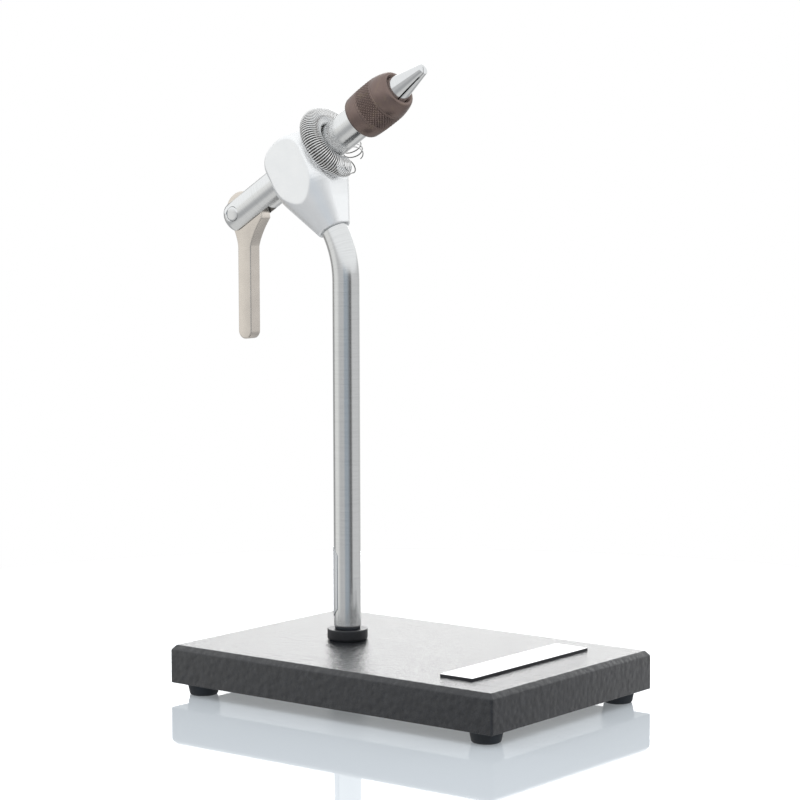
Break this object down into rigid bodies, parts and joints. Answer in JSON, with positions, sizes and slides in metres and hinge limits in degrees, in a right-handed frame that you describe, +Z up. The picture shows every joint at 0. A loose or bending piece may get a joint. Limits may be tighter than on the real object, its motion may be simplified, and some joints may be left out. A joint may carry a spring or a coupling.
{
  "type": "fly tying vise",
  "caption": "Pedestal fly tying vise: heavy base with rubber feet, bent post, rotary head, tilted collet tube with cam lever, split jaws in a knurled nose collar and a material spring.",
  "frame": {"origin": "middle of the vise's footprint and reach, on the surface it stands on", "axes": "+Z up, +X forward from the lever to the jaws, +Y to the left of someone looking along +X"},
  "size_m": [0.2022, 0.1244, 0.2919],
  "materials": {
    "powder_coat": "glossy hammertone powder coat on steel",
    "black_rubber": "matt black rubber",
    "black_steel": "black oxide on steel",
    "plate_metal": "brushed, bare",
    "post_steel": "fine ground stainless steel",
    "label_foil": "bare satin label",
    "head_metal": "satin tumbled aluminium",
    "nylon": "natural nylon",
    "tube_steel": "fine turned stainless steel",
    "lever_metal": "satin nickel plate on steel",
    "collar_metal": "dark oxidised bronze, knurled",
    "jaw_steel": "hardened, fine ground",
    "spring_steel": "bright drawn wire"
  },
  "bodies": {
    "stand": {"base_plate": "powder_coat", "foot_rear_right": "black_rubber", "foot_rear_left": "black_rubber", "foot_front_right": "black_rubber", "foot_front_left": "black_rubber", "foot_screws": "black_steel", "name_plate": "plate_metal", "post_stud": "tube_steel", "stud_washer": "black_steel", "stud_nut": "black_steel", "ring_gasket": "black_rubber", "lock_ring": "black_steel", "post_seal": "black_rubber", "post": "post_steel", "post_label": "label_foil", "head": "head_metal", "rear_bush": "nylon", "front_bush": "nylon", "tension_plug": "nylon", "tension_screw": "black_steel", "post_set_screw": "black_steel"},
    "rotor": {"collet_tube": "tube_steel", "lever_pin": "jaw_steel", "material_spring": "spring_steel"},
    "cam_lever": {"lever": "lever_metal"},
    "jaw_carriage": {"cam_follower": "jaw_steel", "push_rod": "jaw_steel", "jaws": "jaw_steel", "return_spring": "spring_steel"},
    "collar": {"nose_collar": "collar_metal"}
  },
  "joints": [
    {"name": "tube_rotation", "type": "hinge", "parent": "stand", "child": "rotor", "pos_m": [-0.05374, 0, 0.24712], "axis": [0.8572, 0, 0.515], "continuous": true},
    {"name": "lever_swing", "type": "hinge", "parent": "rotor", "child": "cam_lever", "pos_m": [-0.09292, 0, 0.22358], "axis": [0, 1, 0], "range_deg": [0, 85]},
    {"name": "jaw_slide", "type": "slide", "parent": "rotor", "child": "jaw_carriage", "axis": [0.8572, 0, 0.515], "range_m": [-0.004, 0], "deforming": ["return_spring"]},
    {"name": "collar_turn", "type": "hinge", "parent": "rotor", "child": "collar", "pos_m": [-0.0072, 0, 0.27509], "axis": [0.8572, 0, 0.515], "range_deg": [-180, 180]}
  ],
  "couplings": [
    {"joint": "jaw_slide", "follows": "lever_swing", "m_per_rad": -0.0026963}
  ]
}
